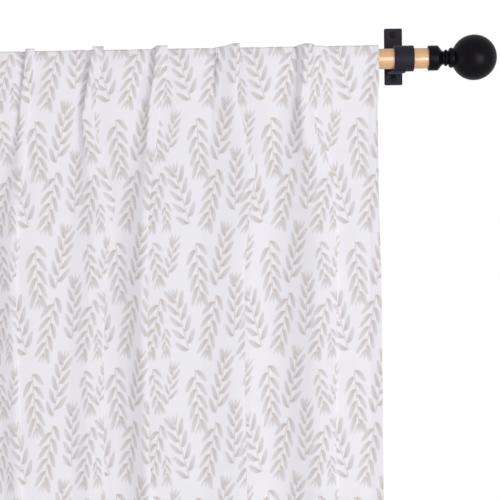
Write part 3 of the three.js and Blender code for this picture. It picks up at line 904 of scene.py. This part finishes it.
def rounded_outline(width, height, corner, inset, steps=6):
    """A rectangle's outline with round corners, all of it moved in by an inset, as an array of (x, z)."""
    radius = max(corner - inset, 0.0)
    middle = np.array([width / 2 - corner, height / 2 - corner]) - max(inset - corner, 0.0)
    outline = []
    for quarter_turn, (sign_x, sign_z) in enumerate([(1, 1), (-1, 1), (-1, -1), (1, -1)]):
        angle = np.radians(90 * quarter_turn + np.linspace(0, 90, steps + 1))
        corner_x, corner_z = sign_x * max(middle[0], 0.0), sign_z * max(middle[1], 0.0)
        outline.append(np.stack([corner_x + radius * np.cos(angle), corner_z + radius * np.sin(angle)], 1))
    return np.concatenate(outline)


def stacked(width, height, corner, stations):
    """Points and faces of a slab: at each station's y stands its outline, moved in by that inset."""
    rings = []
    for inset, y in stations:
        outline = rounded_outline(width, height, corner, inset)
        rings.append(np.stack([outline[:, 0], np.full(len(outline), y), outline[:, 1]], 1))
    points = np.stack(rings)
    return points, grid_faces(len(rings), points.shape[1], wraps=True)


def joined(parts):
    """Several grids of points and faces as one."""
    points, faces, count = [], [], 0
    for part_points, part_faces in parts:
        flat_points = part_points.reshape(-1, 3)
        points.append(flat_points)
        faces.append(part_faces + count)
        count += len(flat_points)
    return np.concatenate(points), np.concatenate(faces)


PLATE = {"width": 32.0, "height": 100.0, "thickness": 4.0, "corner": 2.5}
ARM = {"width": 22.0, "thickness": 4.5, "corner": 0.9, "top": 19.8, "past_pole": 9.0}
RING = {"outer": 22.2, "length": 33.5, "offset": 8.4}
SCREW = {"head": 6.0, "height": 3.4, "from_centre": 39.0, "slot": 3.1, "half_width": 0.62, "depth": 1.4}


def bracket(side, plate_x):
    """Plate, arm and ring welded into one piece, with a small fillet where the arm meets the plate.

    The plate and the arm are slabs, each given as (inset, y) from its end by the wall to the other.
    """
    hand = 1 if side == "right" else -1
    t, middle = PLATE["thickness"], PLATE["width"] / 2
    back_face = [(middle, 0.0), (0.8, 0.0), (0.25, -0.25), (0.0, -0.8)]
    front_face = [(0.0, 0.9 - t), (0.3, 0.3 - t), (0.9, -t), (2.4, -t), (middle, -t)]
    plate = stacked(PLATE["width"], PLATE["height"], PLATE["corner"], back_face + front_face)
    front = POLE_Y - ARM["past_pole"]
    at_plate = [(2.2, 0.0), (0.0, 0.0), (-1.6, -t + 0.1), (-0.5, -t - 0.9), (0.0, -t - 2.4)]
    at_front = [(0.0, front + 0.8), (0.25, front + 0.25), (0.8, front), (2.2, front)]
    arm_points, arm_faces = stacked(ARM["width"], ARM["thickness"], ARM["corner"], at_plate + at_front)
    arm_points[..., 2] += POLE_Z - ARM["top"] - ARM["thickness"] / 2
    half, bore, outer = RING["length"] / 2, POLE_RADIUS + SEAT_GAP, RING["outer"]
    profile = [(-half + 0.3, bore), (-half, bore + 0.3)]
    profile += quarter(-half + 0.8, outer - 0.8, 0.8, 180, 90)
    profile += quarter(half - 0.8, outer - 0.8, 0.8, 90, 0)
    profile += [(half, bore + 0.3), (half - 0.3, bore), (-half + 0.3, bore)]
    profile = np.array(profile)
    angle = np.linspace(0, 2 * np.pi, 112, endpoint=False)
    ring = np.stack(
        [
            np.repeat(profile[:, :1] + hand * RING["offset"], angle.size, 1),
            POLE_Y + profile[:, 1:] * np.cos(angle),
            POLE_Z + profile[:, 1:] * np.sin(angle),
        ],
        2,
    )
    ring_faces = grid_faces(len(profile), angle.size, wraps=True)
    points, faces = joined([plate, (arm_points, arm_faces), (ring, ring_faces)])
    points[:, 0] += plate_x
    piece = mesh_of(f"wall_bracket_{side}", points, faces, BLACK_METAL, sharp=50)
    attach(piece, "root")
    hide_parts(f"bracket_{side}")


def screw(side, level, plate_x):
    """A domed head as height (1 - (r/head)^2)^0.6, with a cross slot pressed into it."""
    up = 1 if level == "upper" else -1
    r = np.concatenate([np.linspace(0, 4.2, 22), np.linspace(4.4, SCREW["head"], 9)])[:, None]
    angle = np.linspace(0, 2 * np.pi, 96, endpoint=False)[None, :]
    x, z = r * np.cos(angle), r * np.sin(angle)
    dome = SCREW["height"] * np.clip(1 - (r / SCREW["head"]) ** 2, 0, 1) ** 0.6 + 0 * angle
    near, far = np.minimum(np.abs(x), np.abs(z)), np.maximum(np.abs(x), np.abs(z))
    cut = smoothstep(SCREW["half_width"] + 0.12, SCREW["half_width"] - 0.12, near)
    cut = cut * smoothstep(SCREW["slot"] + 0.2, SCREW["slot"] - 0.5, far)
    top = dome - SCREW["depth"] * cut
    base = -PLATE["thickness"] - SEAT_GAP
    points = np.stack([plate_x + x, base - top, up * SCREW["from_centre"] + z], 2)
    under = points[::-1].copy()
    under[..., 1] = base
    rings = np.concatenate([points, under[:1], under[-1:]])
    faces = grid_faces(len(rings), angle.size, wraps=True)
    piece = mesh_of(f"screw_head_{side}_{level}", rings, faces, BLACK_METAL, sharp=50)
    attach(piece, "root")
    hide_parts(f"screw_{side}_{level}")


# -------------------------------- the camera, floor and lights

CAMERA = {
    "place": (-0.268, -2.593, -0.114),
    "looks_at": (-0.261, -0.093, -0.332),
    "roll": 1.02,
    "lens": 104.1,
    "sensor": 36.0,
    "sees_to": 60.0,
}
FLOOR = {"under_hem": 22.0, "left": -4500.0, "right": 3500.0, "front": -4000.0, "back": 3000.0, "grid": 3}
LIGHT_ALL_ROUND = {"colour": (0.97, 0.97, 1.0, 1), "strength": 0.56}


def camera():
    """A long lens a little below the pole, turned one degree so that the pole climbs to the right."""
    place, roll = Vector(CAMERA["place"]), math.radians(CAMERA["roll"])
    forward = (Vector(CAMERA["looks_at"]) - place).normalized()
    right = forward.cross(Vector((0, 0, 1))).normalized()
    up = right.cross(forward)
    turned_right = right * math.cos(roll) - up * math.sin(roll)
    turned_up = right * math.sin(roll) + up * math.cos(roll)
    data = bpy.data.cameras.new("camera")
    data.lens = CAMERA["lens"]
    data.sensor_width = CAMERA["sensor"]
    data.clip_end = CAMERA["sees_to"]
    made = bpy.data.objects.new("camera", data)
    axes = Matrix((turned_right, turned_up, -forward)).transposed()
    made.matrix_world = Matrix.Translation(place) @ axes.to_4x4()
    bpy.context.scene.collection.objects.link(made)
    bpy.context.scene.camera = made


def softbox(name, place, target, size, power):
    """A white area light with its size in metres and its power in watts."""
    data = bpy.data.lights.new(name, "AREA")
    data.shape = "RECTANGLE"
    data.size, data.size_y = size
    data.energy = power
    made = bpy.data.objects.new(name, data)
    made.location = place
    made.rotation_euler = (Vector(target) - Vector(place)).to_track_quat("-Z", "Y").to_euler()
    bpy.context.scene.collection.objects.link(made)


def floor():
    """A pale level floor under the curtain."""
    count = FLOOR["grid"]
    across = np.linspace(FLOOR["left"], FLOOR["right"], count)
    x, y = np.meshgrid(across, np.linspace(FLOOR["front"], FLOOR["back"], count), indexing="ij")
    points = np.stack([x, y, np.full_like(x, float(CLOTH_LOW[2]) - FLOOR["under_hem"])], 2)
    finish = Finish("pale_floor", {"Roughness": 0.7, "Base Color": (0.78, 0.78, 0.78, 1)})
    piece = mesh_of("floor", points, grid_faces(count, count)[:, ::-1], finish.material)


def surroundings():
    """White all round for the camera, and a softer white as light."""
    world = bpy.data.worlds.new("studio")
    bpy.context.scene.world = world
    world.use_nodes = True
    nodes, links = world.node_tree.nodes, world.node_tree.links
    nodes.clear()
    seen = nodes.new("ShaderNodeLightPath")
    light = nodes.new("ShaderNodeBackground")
    backdrop = nodes.new("ShaderNodeBackground")
    either = nodes.new("ShaderNodeMixShader")
    light.inputs["Color"].default_value = LIGHT_ALL_ROUND["colour"]
    light.inputs["Strength"].default_value = LIGHT_ALL_ROUND["strength"]
    backdrop.inputs["Strength"].default_value = 1.0
    backdrop.inputs["Color"].default_value = (1, 1, 1, 1)
    links.new(seen.outputs["Is Camera Ray"], either.inputs[0])
    links.new(light.outputs[0], either.inputs[1])
    links.new(backdrop.outputs[0], either.inputs[2])
    out = nodes.new("ShaderNodeOutputWorld")
    links.new(either.outputs[0], out.inputs[0])


camera()
surroundings()
floor()
softbox("softbox_right", (2.4, -4.7, -0.85), (-0.35, -0.1, -0.5), (2.2, 2.95), 95.0)
softbox("softbox_strip", (0.52, -4.6, -0.2), (0.0, -0.1, -0.1), (0.8, 3.0), 20.0)
softbox("softbox_left", (-3.0, -1.1, -0.7), (-0.3, -0.1, -0.4), (0.8, 1.4), 5.0)

cloth = curtain()
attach(cloth, "root")
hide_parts("curtain_panel")
for number in range(1, 10):
    back_tab(number)
pole()
for side in ("left", "right"):
    finial(side)
    low, high = box_mm(f"screw_{side}_upper")
    plate_x = (low[0] + high[0]) / 2
    bracket(side, plate_x)
    for level in ("upper", "lower"):
        screw(side, level, plate_x)

bpy.context.scene.view_settings.view_transform = "Standard"
